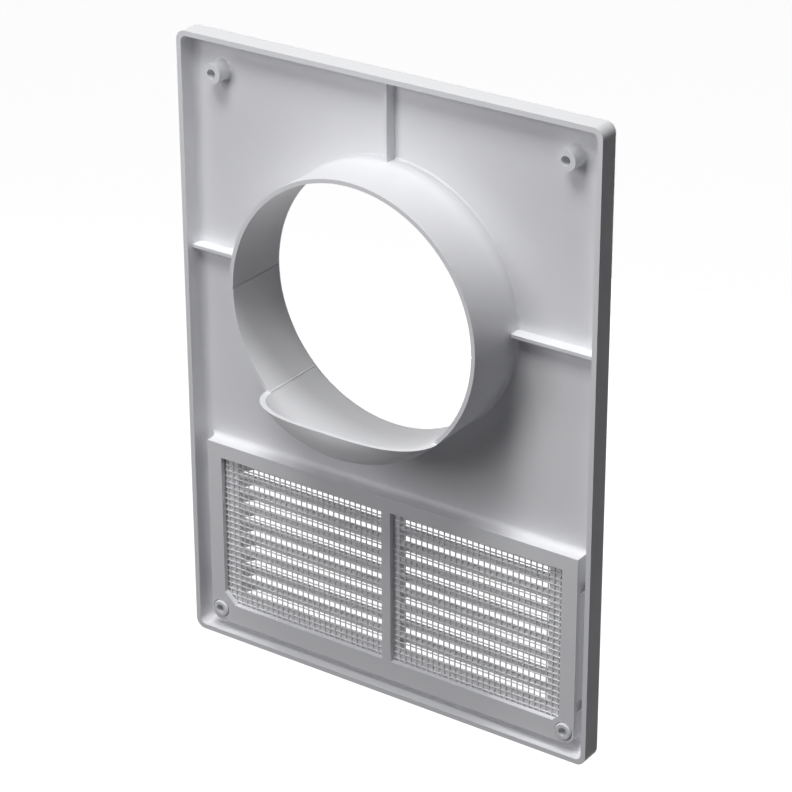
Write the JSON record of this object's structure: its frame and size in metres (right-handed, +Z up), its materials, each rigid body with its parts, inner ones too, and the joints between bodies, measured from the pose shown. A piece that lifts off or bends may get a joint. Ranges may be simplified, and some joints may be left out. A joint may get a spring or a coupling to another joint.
{
  "type": "exhaust grille",
  "caption": "White plastic wall grille with a round duct spigot, a scoop that turns the exhaust upward, and a louvred air inlet backed by a framed insect screen.",
  "frame": {"origin": "on the axis of the duct spigot, in the plane where the plate's rim stands on the wall", "axes": "+Y out of the wall toward the room, +Z up, +X across the plate; the spigot reaches into the wall along -Y"},
  "size_m": [0.182, 0.0458, 0.252],
  "materials": {
    "plate": "smooth white moulded plastic with a soft sheen",
    "frame": "smooth white moulded plastic with a soft sheen",
    "screen": "white woven plastic net"
  },
  "bodies": {
    "root": {"wall_plate": "plate", "screen_frame": "frame", "insect_screen": "screen"}
  },
  "joints": []
}
